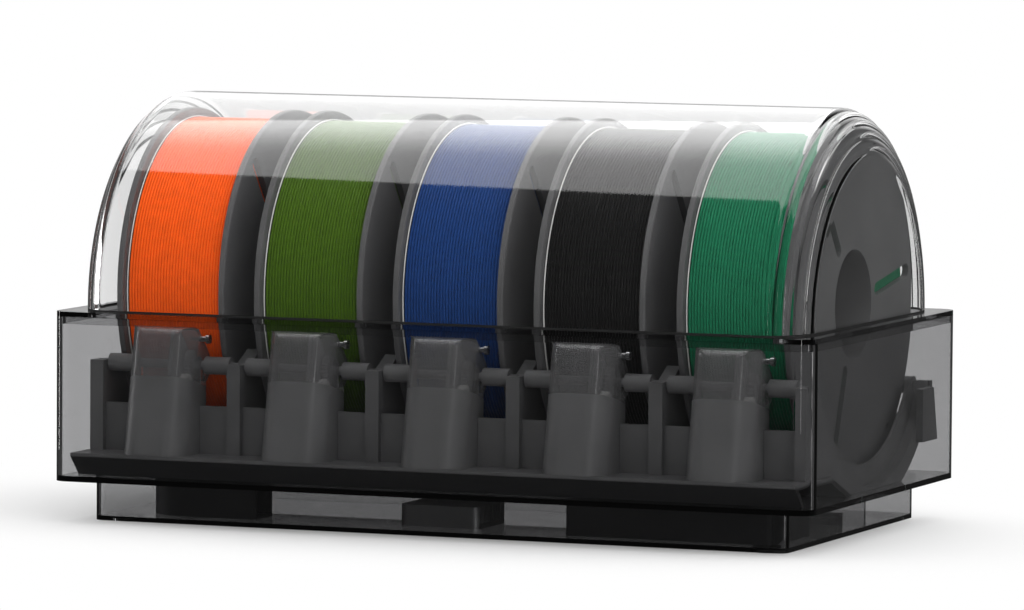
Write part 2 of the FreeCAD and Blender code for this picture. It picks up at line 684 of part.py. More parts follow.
def make_tower_form(inset, floor_inset):
    """Outside of a closed tower, or its inside when inset by a wall."""
    radius = cover_gear_radius - inset
    top = cover_top - inset
    front = inset / math.cos(math.radians(TOWER_LEAN))
    back = tower_back - inset
    shoulder = polar(front_y, front_z, radius, 45)
    dip = math.sqrt(radius**2 - (back - front_y)**2)
    low = shelf_top + floor_inset
    points = [Vector(0, front_line(low) + front, low),
              Vector(0, front_line(top) + front, top),
              Vector(0, shoulder.y - (top - shoulder.z), top),
              shoulder,
              Vector(0, back, front_z - dip),
              Vector(0, back, low)]
    width = TOWER_WIDTH - 2 * inset
    side = Part.Face(outline(points, {3: polar(front_y, front_z, radius, -15)}))
    across = side.extrude(Vector(width, 0, 0))
    across.translate(Vector(-width / 2, 0, 0))
    crown = [e for e in across.Edges
             if abs(e.CenterOfMass.z - top) < 1e-6 and e.CenterOfMass.x**2 < 1
             and e.CenterOfMass.y < front_y - COVER_PIN_FORWARD]
    across = across.makeFillet(COVER_TOP_RADIUS - inset, crown)
    rise = cover_top - shelf_top
    foot = rounded_face(width, 4 * TOWER_REACH, TOWER_CORNER_RADIUS - inset, low,
                        0, front_line(low) + front + 2 * TOWER_REACH)
    leaning = foot.extrude(Vector(0, lean * rise, rise))
    return across.common(leaning)


def parting_slab():
    """Everything below the parting plane of a tower."""
    far = 4 * TOWER_REACH
    high = front_z - PARTING_DROP
    edge = front_line(high)
    slope = math.tan(math.radians(PARTING_SLOPE))
    points = [(edge - far, high + far * slope), (edge + far, high - far * slope),
              (edge + far, 0), (edge - far, 0)]
    return side_prism(points, -TOWER_WIDTH, TOWER_WIDTH)


def shaft_slot(x0, x1, low, radius=SHAFT_RADIUS):
    """Round-topped slot that lets a cover or plate drop over the drive shaft or its sleeves."""
    half = radius + SHAFT_SLOT_GAP
    return joined([box(x0, x1, front_y - half, front_y + half, low, front_z),
                   rod(half, x0, x1, front_y, front_z)])


cover_pin_y = front_y - COVER_PIN_FORWARD
cover_pin_z = front_z + COVER_PIN_RISE


def make_tower():
    """Housing and gear cover of one tower."""
    form = make_tower_form(0, 0)
    below = parting_slab()
    half = TOWER_WIDTH / 2
    housing_room = make_tower_form(HOUSING_WALL, HOUSING_WALL)
    cover_room = make_tower_form(COVER_WALL, HOUSING_WALL)
    housing = form.common(below).cut(housing_room)
    cover = form.cut(below).cut(cover_room)
    sleeve_room = sleeve_inner - SHAFT_SLOT_GAP
    cover = cover.cut([shaft_slot(-half, half, shelf_top),
                       shaft_slot(-sleeve_outer, -sleeve_room, shelf_top, ROLLER_RADIUS),
                       shaft_slot(sleeve_room, sleeve_outer, shelf_top, ROLLER_RADIUS),
                       rod(COVER_PIN_RADIUS, GEAR_X, half, cover_pin_y, cover_pin_z)])
    plate_room = make_tower_form(COVER_WALL + GEAR_PLATE_GAP, HOUSING_WALL)
    slab = box(GEAR_PLATE_X, GEAR_PLATE_X + GEAR_PLATE_THICKNESS, front_y - 3 * TOWER_REACH,
               front_y + 3 * TOWER_REACH, shelf_top, cover_top)
    plate = slab.common(joined([form.common(below), plate_room]))
    plate = plate.cut([shaft_slot(GEAR_PLATE_X, GEAR_PLATE_X + GEAR_PLATE_THICKNESS, pinion_z),
                       rod(2 * MOTOR_SHAFT_RADIUS, 0, TOWER_WIDTH, pinion_y, pinion_z)])
    return joined([housing, plate]), cover


def make_cover_pin():
    """Metal pin that stands out of the cover's right shoulder."""
    half = TOWER_WIDTH / 2
    shank = rod(COVER_PIN_RADIUS, half - COVER_WALL, half + COVER_PIN_REACH, cover_pin_y, cover_pin_z)
    head = rod(COVER_PIN_HEAD_RADIUS, half + COVER_PIN_REACH - COVER_PIN_HEAD, half + COVER_PIN_REACH,
               cover_pin_y, cover_pin_z)
    return joined([shank, head])


# Front shelf: folded section with a bevelled lip, and low walls between towers and posts
def make_front_shelf():
    lip_low = shelf_top - SHELF_LIP
    drop = lip_low - tub_floor
    wall = SHELF_THICKNESS
    foot = shelf_front + SHELF_BEVEL
    roof = shelf_top - wall
    bevel_shift = wall * math.hypot(SHELF_BEVEL, drop) / drop
    slope_shift = wall * math.hypot(SHELF_REAR_SLOPE, SHELF_HEIGHT) / SHELF_HEIGHT
    section = [(foot, tub_floor), (shelf_front, lip_low), (shelf_front, shelf_top),
               (shelf_back, shelf_top), (shelf_foot, tub_floor),
               (shelf_foot - slope_shift, tub_floor),
               (shelf_foot - slope_shift - SHELF_REAR_SLOPE * (roof - tub_floor) / SHELF_HEIGHT, roof),
               (foot + bevel_shift - SHELF_BEVEL * (roof - tub_floor) / drop, roof),
               (foot + bevel_shift, tub_floor)]
    end = rib_end + SHELF_END_MARGIN
    shelf = side_prism(section, -end, end)
    wall_back = front_y - LOW_WALL_SET_FORWARD
    walls = []
    for station in stations:
        for side in (-1, 1):
            x0, x1 = sorted((station + side * (TOWER_WIDTH / 2 + TOWER_SIDE_GAP),
                             station + side * post_inside))
            walls.append(box(x0, x1, wall_back - LOW_WALL_THICKNESS, wall_back,
                             shelf_top - wall / 2, shelf_top + LOW_WALL_HEIGHT))
    return joined([shelf] + walls)


# Rib: upright plate round the underside of the spools, from the front post to the back roller.
# Those between spools rise in a horn at the front; those at the ends keep clear of the flange.
rib_outer = SPOOL_RADIUS + RIB_OUTER_EXTRA
rib_inner = SPOOL_RADIUS - RIB_INNER_LESS
end_rib_inner = SPOOL_RADIUS + END_RIB_GAP
rail_y = rear_y - RAIL_SET_FORWARD
rail_z = rear_z - RAIL_DROP


def spool_circle(radius, z, side):
    """Y of a circle about the spools' axis at height z."""
    return spool_y + side * math.sqrt(radius**2 - (spool_z - z)**2)


def make_rib(inner, horn_rise):
    post_front = front_y - POST_FRONT
    post_back = front_y + POST_REAR
    post_top = front_z + POST_TOP
    horn_z = front_z + horn_rise
    back_y = rear_y + RIB_BACK
    back_top = rear_z + RIB_BACK_TOP
    back_low = spool_z - math.sqrt(rib_outer**2 - (back_y - spool_y)**2)
    flat = [(post_front, shelf_top), (shelf_back, shelf_top), (shelf_foot, tub_floor),
            (spool_circle(rib_outer, tub_floor, 1), tub_floor), (back_y, back_low), (back_y, back_top),
            (spool_circle(inner, back_top, 1), back_top), (spool_circle(inner, horn_z, -1), horn_z)]
    if horn_z > post_top:
        flat.append((post_back, post_top))
    flat.append((post_front, post_top))
    points = [Vector(-RIB_THICKNESS / 2, y, z) for y, z in flat]
    arcs = {3: polar(spool_y, spool_z, rib_outer, -48, -RIB_THICKNESS / 2),
            6: polar(spool_y, spool_z, inner, -90, -RIB_THICKNESS / 2)}
    plate = Part.Face(outline(points, arcs)).extrude(Vector(RIB_THICKNESS, 0, 0))
    half = RIB_THICKNESS / 2
    fit = JOURNAL_RADIUS + RUNNING_FIT
    cuts = []
    for y, z, top in ((front_y, front_z, post_top), (rear_y, rear_z, back_top)):
        cuts += [rod(fit, -half, half, y, z), box(-half, half, y - fit, y + fit, z, top + fit)]
    cuts.append(box(-half, half, rail_y, rail_y + rib_outer, rail_z, rail_z + RAIL_HEIGHT))
    for y in screw_rows:
        cuts.append(post(SCREW_RADIUS, 0, y, tub_floor, tub_floor + SCREW_BITE))
    return plate.cut(cuts)


def make_rear_rail():
    end = rib_end + EAR_PLATE_THICKNESS
    bar = box(-end, end, rail_y, rail_y + RAIL_DEPTH, rail_z, rail_z + RAIL_HEIGHT)
    front = rail_y + (RAIL_DEPTH - EAR_PLATE_DEPTH) / 2 - EAR_PLATE_SET_FORWARD
    back = front + EAR_PLATE_DEPTH
    low = rail_z + RAIL_HEIGHT - EAR_PLATE_HEIGHT / 2
    high = low + EAR_PLATE_HEIGHT
    plate = [(front, low), (back, low), (back - EAR_PLATE_TAPER, high), (front, high)]
    ears = [side_prism(plate, x0, x1) for x0, x1 in ((-end, -rib_end), (rib_end, end))]
    return joined([bar] + ears)


def make_screws():
    screws = []
    for x, y in screw_places:
        shank = post(SCREW_RADIUS, x, y, tub_bottom, tub_floor + SCREW_BITE)
        head = post(SCREW_HEAD_RADIUS, x, y, tub_bottom - SCREW_HEAD, tub_bottom)
        screws.append(joined([shank, head]))
    return screws


# Blower: round housing with a spout towards the heater, and a bladed rotor on a post
blower_x = BLOWER_END_GAP + BLOWER_RADIUS + PLINTH_WALL - plinth_length / 2
unit_y = plinth_front + PLINTH_WALL + UNIT_FRONT_GAP + BLOWER_RADIUS
control_x = plinth_length / 2 - PLINTH_WALL - CONTROL_END_GAP - CONTROL_LENGTH / 2


def blower_form(inset, z0, z1, spout_extra):
    drum = post(BLOWER_RADIUS - inset, blower_x, unit_y, z0, z1)
    spout_front = unit_y - BLOWER_RADIUS + inset
    spout = box(blower_x, blower_x + BLOWER_SPOUT_LENGTH + spout_extra, spout_front,
                spout_front + BLOWER_SPOUT_WIDTH - 2 * inset, z0, z1)
    return joined([drum, spout])


def make_blower():
    inside_top = unit_top - BLOWER_WALL
    inside_low = unit_floor + BLOWER_WALL
    case = blower_form(0, unit_floor, unit_top, 0)
    case = case.cut([blower_form(BLOWER_WALL, inside_low, inside_top, BLOWER_WALL),
                     post(BLOWER_INLET_RADIUS, blower_x, unit_y, inside_low, unit_top)])
    rotor_low = inside_low + ROTOR_FLOOR_GAP
    rotor_top = inside_top - ROTOR_FLOOR_GAP
    spindle = post(ROTOR_POST_RADIUS, blower_x, unit_y, unit_floor + BLOWER_WALL / 2, rotor_top)
    rotor_radius = BLOWER_RADIUS - BLOWER_WALL - ROTOR_GAP
    pieces = [post(rotor_radius, blower_x, unit_y, rotor_low, rotor_low + ROTOR_DISC),
              post(ROTOR_HUB_RADIUS, blower_x, unit_y, rotor_low, rotor_top)]
    for blade in range(ROTOR_BLADES):
        fin = box(blower_x + rotor_radius - ROTOR_BLADE_LENGTH, blower_x + rotor_radius - ROTOR_DISC,
                  unit_y, unit_y + ROTOR_BLADE_THICKNESS, rotor_low, rotor_top)
        fin.rotate(Vector(blower_x, unit_y, 0), Vector(0, 0, 1), 360.0 * blade / ROTOR_BLADES)
        pieces.append(fin)
    rotor = joined(pieces).cut(post(ROTOR_POST_RADIUS + RUNNING_FIT, blower_x, unit_y,
                                    rotor_low, rotor_top))
    return joined([case, spindle]), rotor


def make_heater():
    """Block with fins along X, in the blower's stream."""
    block = rounded_block(HEATER_LENGTH, HEATER_DEPTH, HEATER_CORNER_RADIUS,
                          unit_floor, unit_floor + HEATER_HEIGHT, -HEATER_SET_LEFT, unit_y)
    spacing = HEATER_DEPTH / (HEATER_FINS + 1)
    cuts = []
    for gap in range(HEATER_FINS):
        y = unit_y - HEATER_DEPTH / 2 + spacing * (gap + 1)
        cuts.append(box(-HEATER_SET_LEFT - HEATER_LENGTH, HEATER_LENGTH - HEATER_SET_LEFT,
                        y - HEATER_FIN_GAP / 2, y + HEATER_FIN_GAP / 2,
                        unit_floor + HEATER_BASE, unit_top))
    return block.cut(cuts)


def make_control_box():
    return rounded_block(CONTROL_LENGTH, CONTROL_DEPTH, CONTROL_CORNER_RADIUS,
                         unit_floor, unit_top, control_x, unit_y)


# Power inlet in the plinth's rear wall: flanged cup with two contact pins
def make_power_inlet():
    half = INLET_WIDTH / 2
    tall = INLET_HEIGHT / 2
    inside = plinth_back - INLET_DEPTH
    body = box(inlet_x - half, inlet_x + half, inside, plinth_back, inlet_z - tall, inlet_z + tall)
    rim = box(inlet_x - half - INLET_FLANGE, inlet_x + half + INLET_FLANGE, plinth_back,
              plinth_back + INLET_FLANGE_THICKNESS, inlet_z - tall - INLET_FLANGE,
              inlet_z + tall + INLET_FLANGE)
    cup = box(inlet_x - half + INLET_WALL, inlet_x + half - INLET_WALL,
              inside + INLET_WALL, plinth_back + INLET_FLANGE_THICKNESS,
              inlet_z - tall + INLET_WALL, inlet_z + tall - INLET_WALL)
    pieces = [joined([body, rim]).cut(cup)]
    for side in (-1, 1):
        foot = Vector(inlet_x + side * INLET_PIN_SPACING / 2, inside + INLET_WALL / 2, inlet_z)
        pieces.append(Part.makeCylinder(INLET_PIN_RADIUS, INLET_DEPTH - INLET_WALL, foot, Vector(0, 1, 0)))
    return joined(pieces)


os.makedirs("parts", exist_ok=True)

write("tub", make_tub())
write("plinth", *make_plinth())
write("rim_frame", make_rim_frame())
write("lid_seal", make_lid_seal())
write("lid", make_lid())
write("hinge_brackets", *make_hinge_brackets())
write("hinge_pins", *make_hinge_pins())
write("rubber_feet", *make_feet())
write("front_shelf", make_front_shelf())
write("rear_rail", make_rear_rail())
write("case_screws", *make_screws())
rib = make_rib(rib_inner, RIB_HORN_RISE)
end_rib = make_rib(end_rib_inner, POST_TOP)
ribs = [moved(rib, x) for x in boundaries[1:-1]]
write("cradle_ribs", moved(end_rib, boundaries[0]), *ribs, moved(end_rib, boundaries[-1]))

blower_housing, blower_rotor = make_blower()
write("blower_housing", blower_housing)
write("blower_rotor", blower_rotor)
write("heater_core", make_heater())
write("control_box", make_control_box())
write("power_inlet", make_power_inlet())

# One of each repeated piece is made at X = 0 and set at every station
housing, cover = make_tower()
motor = make_motor()
cover_pin = make_cover_pin()
spool = make_spool()
core = make_filament_core()
winding = make_winding()
drive_roller = make_drive_roller()
rear_roller = make_rear_roller()
pinion = make_pinion()
write("drive_motors", *[moved(motor, x) for x in stations])
write("cover_pins", *[moved(cover_pin, x) for x in stations])
for number, x in enumerate(stations, 1):
    write(f"drive_housing_{number}", moved(housing, x))
    write(f"gear_cover_{number}", moved(cover, x))
    write(f"spool_{number}", *[moved(piece, x) for piece in spool])
    write(f"filament_core_{number}", moved(core, x))
    write(f"filament_turns_{number}", moved(winding, x))
    write(f"drive_roller_{number}", *[moved(piece, x) for piece in drive_roller])
    write(f"rear_roller_{number}", moved(rear_roller, x))
    write(f"pinion_{number}", moved(pinion, x))
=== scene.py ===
import json
import bmesh
import bpy
import numpy as np
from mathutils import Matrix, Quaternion, Vector


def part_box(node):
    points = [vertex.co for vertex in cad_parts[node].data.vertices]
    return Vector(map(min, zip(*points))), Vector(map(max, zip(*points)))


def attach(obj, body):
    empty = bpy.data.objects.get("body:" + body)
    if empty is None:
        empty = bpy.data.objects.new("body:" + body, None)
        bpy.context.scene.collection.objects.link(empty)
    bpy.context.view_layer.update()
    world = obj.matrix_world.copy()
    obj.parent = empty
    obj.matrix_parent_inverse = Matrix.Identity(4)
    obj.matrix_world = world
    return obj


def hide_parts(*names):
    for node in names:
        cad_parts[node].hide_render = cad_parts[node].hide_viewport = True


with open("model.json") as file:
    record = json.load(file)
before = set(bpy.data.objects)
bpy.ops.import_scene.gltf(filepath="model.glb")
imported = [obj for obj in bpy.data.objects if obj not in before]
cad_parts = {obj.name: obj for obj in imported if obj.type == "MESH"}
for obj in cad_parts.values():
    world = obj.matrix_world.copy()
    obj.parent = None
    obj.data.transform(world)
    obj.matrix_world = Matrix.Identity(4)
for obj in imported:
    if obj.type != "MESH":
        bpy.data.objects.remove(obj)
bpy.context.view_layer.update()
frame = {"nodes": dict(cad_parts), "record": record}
nodes = frame["nodes"]
scene = bpy.context.scene
scene.view_settings.view_transform = "Standard"


# Node helpers: short ways to build the trees of the room, the floor and every finish. A value is a
# plain number, a colour or the output socket of another node.
def link(tree, source, target):
    """Joins an output socket to an input socket of a node tree."""
    tree.links.new(source, target)


def math_node(tree, operation, *values):
    """A Math node whose inputs are numbers or output sockets; returns its output."""
    made = tree.nodes.new("ShaderNodeMath")
    made.operation = operation
    for place, value in enumerate(values):
        if isinstance(value, bpy.types.NodeSocket):
            link(tree, value, made.inputs[place])
        else:
            made.inputs[place].default_value = value
    return made.outputs[0]


def ramp_node(tree, value, start, end):
    """Rises smoothly from 0 to 1 as value goes from start to end."""
    made = tree.nodes.new("ShaderNodeMapRange")
    made.interpolation_type = "SMOOTHSTEP"
    made.inputs["From Min"].default_value = start
    made.inputs["From Max"].default_value = end
    link(tree, value, made.inputs["Value"])
    return made.outputs[0]


def coordinate(tree, kind):
    """One output of a Texture Coordinate node."""
    return tree.nodes.new("ShaderNodeTexCoord").outputs[kind]


def axes_of(tree, vector):
    """The outputs X, Y and Z of a vector."""
    made = tree.nodes.new("ShaderNodeSeparateXYZ")
    link(tree, vector, made.inputs[0])
    return made.outputs


def stretched(tree, vector, scale):
    """A vector scaled along each axis."""
    made = tree.nodes.new("ShaderNodeMapping")
    made.inputs["Scale"].default_value = scale
    link(tree, vector, made.inputs["Vector"])
    return made.outputs[0]


def mixed_colours(tree, factor, first, second):
    """Blends from the first colour to the second as factor goes from 0 to 1."""
    made = tree.nodes.new("ShaderNodeMix")
    made.data_type = "RGBA"
    for place, colour in (("A", first), ("B", second)):
        if isinstance(colour, bpy.types.NodeSocket):
            link(tree, colour, made.inputs[place])
        else:
            made.inputs[place].default_value = (*colour, 1.0)
    link(tree, factor, made.inputs["Factor"])
    return made.outputs["Result"]


def mixed_shaders(tree, factor, first, second):
    """The first shader where factor is 0, the second where it is 1."""
    made = tree.nodes.new("ShaderNodeMixShader")
    link(tree, factor, made.inputs["Fac"])
    link(tree, first, made.inputs[1])
    link(tree, second, made.inputs[2])
    return made.outputs[0]


def matt(tree, grey):
    """A plain diffuse shader of one grey."""
    made = tree.nodes.new("ShaderNodeBsdfDiffuse")
    made.inputs["Color"].default_value = (grey, grey, grey, 1.0)
    return made.outputs[0]


def straight_and_mirrored(tree):
    """Two switches: rays seen straight or through plastic, and rays that were mirrored on the way."""
    path = tree.nodes.new("ShaderNodeLightPath")
    bounced = math_node(tree, "GREATER_THAN", path.outputs["Glossy Depth"], 0.5)
    seen = math_node(tree, "MAXIMUM", path.outputs["Is Camera Ray"], path.outputs["Is Transmission Ray"])
    straight = math_node(tree, "MULTIPLY", seen, math_node(tree, "SUBTRACT", 1.0, bounced))
    return straight, math_node(tree, "MULTIPLY", path.outputs["Is Glossy Ray"], bounced)


# Studio: a seamless pale floor under one large overhead softbox, with a narrow strip light at each
# side, taken from the front right with a long lens. The clear plastic mirrors these and the back.
LENS = 265.2
SENSOR = 36.0
VIEW_DEPTH = 60.0
CAMERA_PLACE = (1.58761, -3.94522, 0.44313)
CAMERA_TARGET = (0.00263, 0.0, 0.12225)
CAMERA_ROLL = np.radians(0.396)
SOFTBOX_PLACE = (0.305, 0.589, 2.0)
SOFTBOX_TURN = np.radians(-23.75)
SOFTBOX_SIDE = 3.0
SOFTBOX_RADIANCE = 1.75
STRIPS = (("left_strip", (-2.6, 0.0, 0.5), 0.35), ("right_strip", (1.40, -2.62, 0.5), 0.22))
STRIP_TARGET = (0.0, 0.0, 0.15)
STRIP_HEIGHT = 1.4
STRIP_RADIANCE = 4.0


def aimed(place, target):
    """Turn that points -Z from place to target."""
    return (Vector(target) - Vector(place)).to_track_quat("-Z", "Y")


def area_light(name, place, turn, width, height, radiance):
    """Rectangular lamp that the camera doesn't see; its power is pi times radiance times area."""
    lamp_data = bpy.data.lights.new(name, "AREA")
    lamp_data.shape = "RECTANGLE"
    lamp_data.size = width
    lamp_data.size_y = height
    lamp_data.energy = radiance * np.pi * width * height
    lamp = bpy.data.objects.new(name, lamp_data)
    lamp.location = place
    lamp.rotation_euler = turn
    lamp.visible_camera = False
    scene.collection.objects.link(lamp)


camera_data = bpy.data.cameras.new("studio_camera")
camera_data.lens = LENS
camera_data.sensor_width = SENSOR
camera_data.clip_end = VIEW_DEPTH
camera = bpy.data.objects.new("studio_camera", camera_data)
camera.location = CAMERA_PLACE
camera_roll = Quaternion((0.0, 0.0, 1.0), CAMERA_ROLL)
camera.rotation_euler = (aimed(CAMERA_PLACE, CAMERA_TARGET) @ camera_roll).to_euler()
scene.collection.objects.link(camera)
scene.camera = camera

area_light("overhead_softbox", SOFTBOX_PLACE, (0.0, 0.0, SOFTBOX_TURN), SOFTBOX_SIDE, SOFTBOX_SIDE,
           SOFTBOX_RADIANCE)
for name, place, width in STRIPS:
    area_light(name, place, aimed(place, STRIP_TARGET).to_euler(), width, STRIP_HEIGHT, STRIP_RADIANCE)

# Room: brighter towards +X for lighting; mirrors see it dark, apart from a pale wall at the back.
ROOM_FILL = 0.97
ROOM_SLANT = 0.48
MIRROR_DARK = 0.05
MIRROR_WALL = 1.55
BACK_WALL = (("Y", 0.05, 0.45), ("Z", -0.06, 0.30), ("X", -0.80, -0.45), ("X", 0.20, -0.10))

room = bpy.data.worlds.new("studio_room")
room.use_nodes = True
scene.world = room
tree = room.node_tree
tree.nodes.clear()
heading = axes_of(tree, coordinate(tree, "Generated"))
fill = math_node(tree, "ADD", ROOM_FILL, math_node(tree, "MULTIPLY", heading["X"], ROOM_SLANT))
wall = MIRROR_WALL
for axis, start, end in BACK_WALL:
    wall = math_node(tree, "MULTIPLY", wall, ramp_node(tree, heading[axis], start, end))
mirror_room = math_node(tree, "ADD", MIRROR_DARK, wall)
mirrored = straight_and_mirrored(tree)[1]
dimming = math_node(tree, "MULTIPLY", mirrored, math_node(tree, "SUBTRACT", mirror_room, fill))
background = tree.nodes.new("ShaderNodeBackground")
background.inputs["Color"].default_value = (1.0, 1.0, 1.0, 1.0)
link(tree, math_node(tree, "ADD", fill, dimming), background.inputs["Strength"])
world_out = tree.nodes.new("ShaderNodeOutputWorld")
link(tree, background.outputs[0], world_out.inputs["Surface"])

# Floor: grey paper near the part, which takes its shadow, and pure white further out.
FLOOR_REACH = 12.0
FLOOR_LEVEL = -0.0002
PAPER_GREY = 0.50
PAPER_GLOW = 0.20
PAPER_MIRRORED = 0.05
WHITE_STRETCH = (0.55, 1.0, 1.0)
WHITE_START = 0.12
WHITE_END = 0.27

floor_mesh = bpy.data.meshes.new("studio_floor")
corners = ((-1.0, -1.0), (1.0, -1.0), (1.0, 1.0), (-1.0, 1.0))
floor_mesh.from_pydata([(x * FLOOR_REACH, y * FLOOR_REACH, FLOOR_LEVEL) for x, y in corners], [],
                       [(0, 1, 2, 3)])
floor = bpy.data.objects.new("studio_floor", floor_mesh)
scene.collection.objects.link(floor)
floor.visible_glossy = False
floor_paper = bpy.data.materials.new("floor_paper")
floor_paper.use_nodes = True
tree = floor_paper.node_tree
tree.nodes.clear()
distance = tree.nodes.new("ShaderNodeVectorMath")
distance.operation = "LENGTH"
link(tree, stretched(tree, coordinate(tree, "Object"), WHITE_STRETCH), distance.inputs[0])
away = ramp_node(tree, distance.outputs["Value"], WHITE_START, WHITE_END)
straight, mirrored = straight_and_mirrored(tree)
glow = tree.nodes.new("ShaderNodeEmission")
link(tree, math_node(tree, "MULTIPLY", straight, PAPER_GLOW), glow.inputs["Strength"])
lit = tree.nodes.new("ShaderNodeAddShader")
link(tree, matt(tree, PAPER_GREY), lit.inputs[0])
link(tree, glow.outputs[0], lit.inputs[1])
white = tree.nodes.new("ShaderNodeEmission")
seamless = mixed_shaders(tree, math_node(tree, "MULTIPLY", straight, away), lit.outputs[0],
                         white.outputs[0])
floor_out = tree.nodes.new("ShaderNodeOutputMaterial")
link(tree, mixed_shaders(tree, mirrored, seamless, matt(tree, PAPER_MIRRORED)),
     floor_out.inputs["Surface"])
floor_mesh.materials.append(floor_paper)

# Finishes: clear and opaque mouldings, bare metal and filament, all from noise on Object coordinates.
# Sizes of grain and heights of bump are in metres.
NOISE_LOW = 0.3
NOISE_HIGH = 0.7
PLASTIC_IOR = 1.49
SMEAR_SIZE = 0.045
LAMP_SHARE = 0.97
SMOKE_COLOUR = (0.25, 0.25, 0.255, 1.0)
SMOKE_TAKES = 0.75
DRIFT_SIZE = 0.030
COLOUR_DRIFT = 0.10
ROUGH_SWING = 0.06
METAL_ROUGH_SWING = 0.08
METAL_DARK = 0.85
STROKE_SHRINK = 0.04
THREAD_SHADE_SIZE = 0.006
THREAD_DARK = 0.93
THREAD_BRIGHT = 1.05
THREAD_ROUGH_SIZE = 0.002
THREAD_ROUGH = (0.34, 0.46)
THREAD_SHINE = 0.10


def start_finish(name):
    """A new node material with a Principled shader, with its tree, shader and output node."""
    finish = bpy.data.materials.new(name)
    finish.use_nodes = True
    made = finish.node_tree
    made.nodes.clear()
    shader = made.nodes.new("ShaderNodeBsdfPrincipled")
    out = made.nodes.new("ShaderNodeOutputMaterial")
    link(made, shader.outputs[0], out.inputs["Surface"])
    return finish, made, shader, out


def grain(made, size, detail, scale=(1.0, 1.0, 1.0)):
    """Noise on Object coordinates whose lumps are about size metres across, over scale on each axis."""
    noise = made.nodes.new("ShaderNodeTexNoise")
    noise.inputs["Scale"].default_value = 1.0 / size
    noise.inputs["Detail"].default_value = detail
    link(made, stretched(made, coordinate(made, "Object"), scale), noise.inputs["Vector"])
    return noise.outputs["Fac"]


def spread(made, value, low, high):
    """Maps noise from its usual range onto low to high."""
    ramp = made.nodes.new("ShaderNodeMapRange")
    ramp.inputs["From Min"].default_value = NOISE_LOW
    ramp.inputs["From Max"].default_value = NOISE_HIGH
    ramp.inputs["To Min"].default_value = low
    ramp.inputs["To Max"].default_value = high
    link(made, value, ramp.inputs["Value"])
    return ramp.outputs[0]


def bumped(made, shader, value, height):
    """Raises the surface by value times height metres."""
    bump = made.nodes.new("ShaderNodeBump")
    bump.inputs["Strength"].default_value = 1.0
    bump.inputs["Distance"].default_value = height
    link(made, value, bump.inputs["Height"])
    link(made, bump.outputs[0], shader.inputs["Normal"])


def clear_plastic(name, tint, absorbs, smear, haze=0.0):
    """Glass-like moulding: refracts, mirrors, dims by its thickness, and lets soft light through.

    Haze is the share of its light that the moulding scatters instead of passing on."""
    finish, made, shader, out = start_finish(name)
    shader.inputs["Base Color"].default_value = (*tint, 1.0)
    shader.inputs["Transmission Weight"].default_value = 1.0 - haze
    shader.inputs["IOR"].default_value = PLASTIC_IOR
    link(made, spread(made, grain(made, SMEAR_SIZE, 4.0), 0.0, smear), shader.inputs["Roughness"])
    lamp_way = made.nodes.new("ShaderNodeBsdfTransparent")
    lamp_way.inputs["Color"].default_value = (LAMP_SHARE, LAMP_SHARE, LAMP_SHARE, 1.0)
    path = made.nodes.new("ShaderNodeLightPath")
    surface = shader.outputs[0]
    for kind in ("Is Diffuse Ray", "Is Shadow Ray"):
        surface = mixed_shaders(made, path.outputs[kind], surface, lamp_way.outputs[0])
    link(made, surface, out.inputs["Surface"])
    if absorbs:
        smoke = made.nodes.new("ShaderNodeVolumeAbsorption")
        smoke.inputs["Color"].default_value = SMOKE_COLOUR
        smoke.inputs["Density"].default_value = absorbs / SMOKE_TAKES
        link(made, smoke.outputs[0], out.inputs["Volume"])
    return finish


def painted_shade_low(made, tone, under, start, end):
    """Painted shade: the colour under below height start, tone above height end, and a blend between."""
    height = axes_of(made, coordinate(made, "Object"))["Z"]
    return mixed_colours(made, ramp_node(made, height, start, end), under, tone)


def moulded(name, colour, rough, speck, height, shine=0.25, painted_shade_below=None):
    """Opaque moulding: colour drifts slowly, and a fine speckled grain breaks up its shine.

    An optional shade colour is painted as shade over what lies low, with the two heights between which it
    ends."""
    finish, made, shader, _ = start_finish(name)
    slow = grain(made, DRIFT_SIZE, 2.0)
    fine = grain(made, speck, 2.0)
    tone = mixed_colours(made, spread(made, slow, 0.0, 1.0), [c * (1.0 - COLOUR_DRIFT) for c in colour],
                         [c * (1.0 + COLOUR_DRIFT) for c in colour])
    # Painted shade: a darker colour over the lowest band, where it is asked for.
    if painted_shade_below:
        tone = painted_shade_low(made, tone, *painted_shade_below)
    link(made, tone, shader.inputs["Base Color"])
    link(made, spread(made, fine, rough - ROUGH_SWING, rough + ROUGH_SWING), shader.inputs["Roughness"])
    shader.inputs["Specular IOR Level"].default_value = shine
    bumped(made, shader, fine, height)
    return finish


def bare_metal(name, colour, rough, stroke, along):
    """Metal with fine parallel strokes along one axis."""
    finish, made, shader, _ = start_finish(name)
    strokes = grain(made, stroke, 2.0, [STROKE_SHRINK if axis == along else 1.0 for axis in "XYZ"])
    tone = mixed_colours(made, strokes, [METAL_DARK * c for c in colour], colour)
    link(made, tone, shader.inputs["Base Color"])
    shader.inputs["Metallic"].default_value = 1.0
    link(made, spread(made, strokes, rough - METAL_ROUGH_SWING, rough + METAL_ROUGH_SWING),
         shader.inputs["Roughness"])
    return finish


def filament_finish(name, colour):
    """Coloured thread, a little uneven in shade and shine along its length."""
    finish, made, shader, _ = start_finish(name)
    tone = mixed_colours(made, spread(made, grain(made, THREAD_SHADE_SIZE, 2.0), 0.0, 1.0),
                         [THREAD_DARK * c for c in colour],
                         [min(THREAD_BRIGHT * c, 1.0) for c in colour])
    link(made, tone, shader.inputs["Base Color"])
    link(made, spread(made, grain(made, THREAD_ROUGH_SIZE, 1.0), *THREAD_ROUGH), shader.inputs["Roughness"])
    shader.inputs["Specular IOR Level"].default_value = THREAD_SHINE
    return finish


def dress(names, finish):
    """Gives CAD nodes one finish."""
    for name in names:
        held = nodes[name].data.materials
        held.clear()
        held.append(finish)


